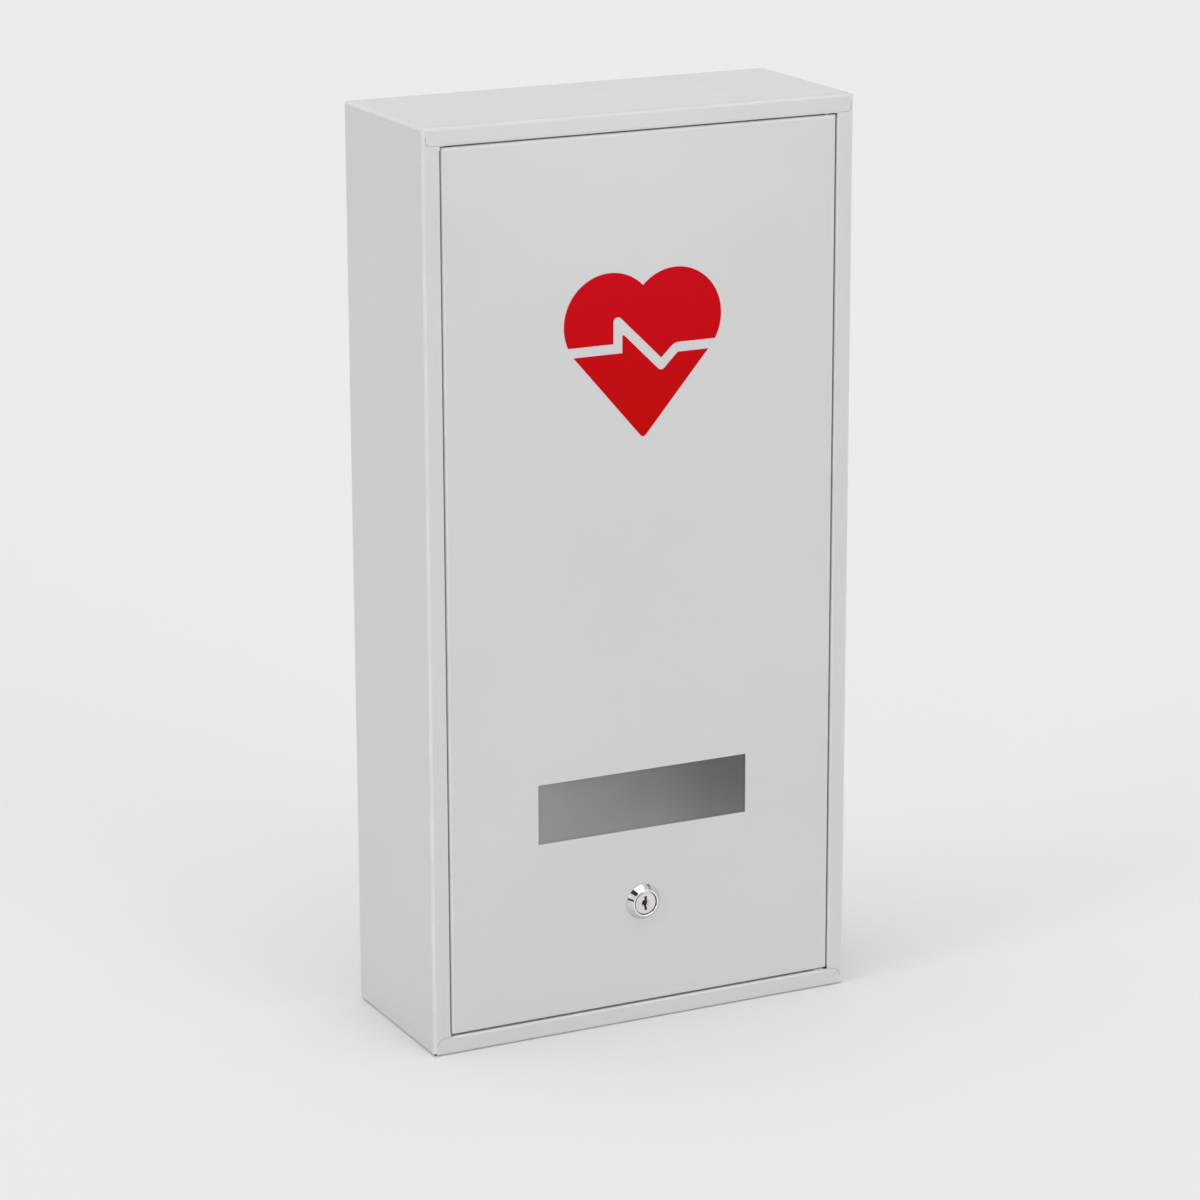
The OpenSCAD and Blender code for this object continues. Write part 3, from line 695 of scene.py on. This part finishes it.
# ---------------------------------------------------------------- lock housing
# Sizes in millimetres. Depth runs from the door's face into the cabinet, so that the
# bezel's depths are negative.
RIM_R = 11.9
RIM_H = 0.5
LIP_R = 9.1
LIP_FACE_DEPTH = -4.1
LIP_ROUND = 0.3
MOUTH_R = 8.0
MOUTH_FLOOR_DEPTH = -2.4
BORE_R = 7.65
BARREL_R = 9.5
BARREL_FLAT_R = 8.5
BARREL_CHAMFER = 0.7
THREAD_START = 1.3
THREAD_PITCH = 1.0
THREAD_DEPTH = 0.5
# share of the pitch that the thread's crest takes up
THREAD_CREST = 0.12
# rows of faces to one pitch of the thread, faces round the axis, and faces on a round
THREAD_ROWS = 6
TURN_STEPS = 120
ROUND_STEPS = 4
SHARP_ANGLE = math.radians(32)
# keeps a division from meeting zero
TINY = 1e-6

# The housing's materials, in the order of their numbers on its faces.
HOUSING_MATERIALS = ("chrome", "greased_bore", "turned_lip")
PLAIN, MOUTH, LIP = range(len(HOUSING_MATERIALS))


def quarter(centre_r, centre_depth, radius, start, end):
    """Points of a round in a lathe profile, by angle in degrees; 0 is outwards and 90 towards the viewer."""
    angles = [math.radians(start + (end - start) * i / ROUND_STEPS) for i in range(ROUND_STEPS + 1)]
    return [(centre_r + radius * math.cos(a), centre_depth - radius * math.sin(a)) for a in angles]


def bezel_profile():
    """The bezel's (radius, depth) points with the material that starts at each.

    They run from the rim on the door up the cone, over the lip and down into the mouth.
    """
    slope = math.degrees(math.atan2(RIM_R - LIP_R, -LIP_FACE_DEPTH - RIM_H))
    round_depth = LIP_FACE_DEPTH + LIP_ROUND
    outer = quarter(LIP_R - LIP_ROUND, round_depth, LIP_ROUND, slope, 90)
    inner = quarter(MOUTH_R + LIP_ROUND, round_depth, LIP_ROUND, 90, 180)
    runs = [
        (PLAIN, [(RIM_R, 0), (RIM_R, -RIM_H), outer[0]]),
        (LIP, [*outer[1:], *inner[:-1]]),
        (MOUTH, [inner[-1], (MOUTH_R, MOUTH_FLOOR_DEPTH)]),
        (PLAIN, [(BORE_R, MOUTH_FLOOR_DEPTH)]),
    ]
    return [(material, point) for material, points in runs for point in points]


def barrel_radius(angle, depth, end):
    """Radius of the barrel: two flats, and a thread from THREAD_START to a chamfered end."""
    turns = (depth / THREAD_PITCH - angle / (2 * math.pi)) % 1
    groove = max(0, 1 - abs(turns - 0.5) * 2 - THREAD_CREST)
    worn_in = min(1, max(0, (depth - THREAD_START) / THREAD_PITCH))
    radius = BARREL_R - THREAD_DEPTH * groove * worn_in
    radius = min(radius, BARREL_R - THREAD_DEPTH - BARREL_CHAMFER + (end - depth))
    return min(radius, BARREL_FLAT_R / max(abs(math.cos(angle)), TINY))


def housing_rows(angles, end):
    """The closed profile as rows of (radius, depth) by angle, each with the material that starts there."""
    rows = [(material, [point] * len(angles)) for material, point in bezel_profile()]
    rows.append((PLAIN, [(BORE_R, end)] * len(angles)))
    steps = math.ceil(end / THREAD_PITCH * THREAD_ROWS)
    for i in range(steps, -1, -1):
        depth = end * i / steps
        rows.append((PLAIN, [(barrel_radius(a, depth, end), depth) for a in angles]))
    return rows


def turned_mesh(name, angles, rows, centre):
    """Skins closed rows round an axis along Y; centre is where the axis meets depth 0, in metres."""
    mesh = bpy.data.meshes.new(name)
    bm = bmesh.new()
    rings = []
    x, y, z = centre
    for _, row in rows:
        ring = []
        for a, (r, depth) in zip(angles, row):
            place = (x + r * math.cos(a) * MM, y + depth * MM, z + r * math.sin(a) * MM)
            ring.append(bm.verts.new(place))
        rings.append(ring)
    for (material, _), ring, after in zip(rows, rings, rings[1:] + rings[:1]):
        for i in range(len(angles)):
            j = (i + 1) % len(angles)
            face = bm.faces.new((ring[i], ring[j], after[j], after[i]))
            face.smooth = True
            face.material_index = material
    bmesh.ops.recalc_face_normals(bm, faces=bm.faces)
    bm.to_mesh(mesh)
    bm.free()
    mesh.set_sharp_from_angle(angle=SHARP_ANGLE)
    return mesh


def make_lock_housing(materials):
    """The cam lock's bezel with a rounded lip and a mouth round the plug, and its threaded barrel."""
    low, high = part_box("lock_housing")
    face_y = door_front_y()
    centre = ((low.x + high.x) / 2, face_y, (low.z + high.z) / 2)
    end = (high.y - face_y) / MM
    angles = [2 * math.pi * i / TURN_STEPS for i in range(TURN_STEPS)]
    mesh = turned_mesh("lock_housing_turned", angles, housing_rows(angles, end), centre)
    for name in HOUSING_MATERIALS:
        mesh.materials.append(materials[name])
    housing = add_object("lock_housing_turned", mesh)
    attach(housing, "door")
    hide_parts("lock_housing")


# ---------------------------------------------------------------- the whole scene
def make_materials():
    """One material for each slot of the CAD nodes, and those of the scene's own pieces."""
    # the casing's seam floors and corner notch get painted shade
    casing_painted_shade = [(seam_painted_shade_mask, SEAM_PAINTED_SHADE), (notch_painted_shade_mask, NOTCH_PAINTED_SHADE)]
    return {
        "coat_side": powder_coat("coat_side", COAT, casing_painted_shade),
        "coat_door": powder_coat("coat_door", COAT),
        "coat_shelf": powder_coat("coat_shelf", COAT),
        "zinc": plated("zinc", ZINC, roughness=(0.28, 0.42), streak=6),
        "chrome": plated("chrome", CHROME, roughness=(0.03, 0.07), bump=0.01),
        "plug_metal": plated("plug_metal", NICKEL, roughness=(0.22, 0.32), streak=4),
        "brass": plated("brass", BRASS, roughness=(0.25, 0.35), streak=5),
        "clear_pane": hazy_sheet("clear_pane"),
        "nylon": moulded("nylon", NYLON, roughness=0.5, skin_scale=900, bump=0.15),
        "rubber": moulded("rubber", RUBBER, roughness=0.7, skin_scale=1500, bump=0.3),
        "greased_bore": moulded("greased_bore", GREASE, roughness=0.5, skin_scale=1200, bump=0.2),
        "turned_lip": plated("turned_lip", CHROME_LIP, roughness=(0.06, 0.12), bump=0.02),
        "sign_ink": sign_ink("sign_ink"),
    }


def dress_cad_nodes(materials):
    for part in frame["record"]["subparts"]:
        mesh = frame["nodes"][part["node"]].data
        mesh.materials.clear()
        mesh.materials.append(materials[part["material_slot"]])


make_camera()
make_world()
make_floor()
sun_light("left_box", azimuth=-80, elevation=22, spread=24, strength=0.15, colour=(0.90, 1, 0.87))
sun_light("overhead_box", azimuth=-60, elevation=82, spread=56, strength=0.212, colour=(0.99, 0.972, 1))
sun_light("front_box", azimuth=16, elevation=12, spread=28, strength=0.203, colour=(0.995, 0.985, 1))
make_bright_card()
materials = make_materials()
dress_cad_nodes(materials)
make_lock_housing(materials)
make_heart_sign(materials)
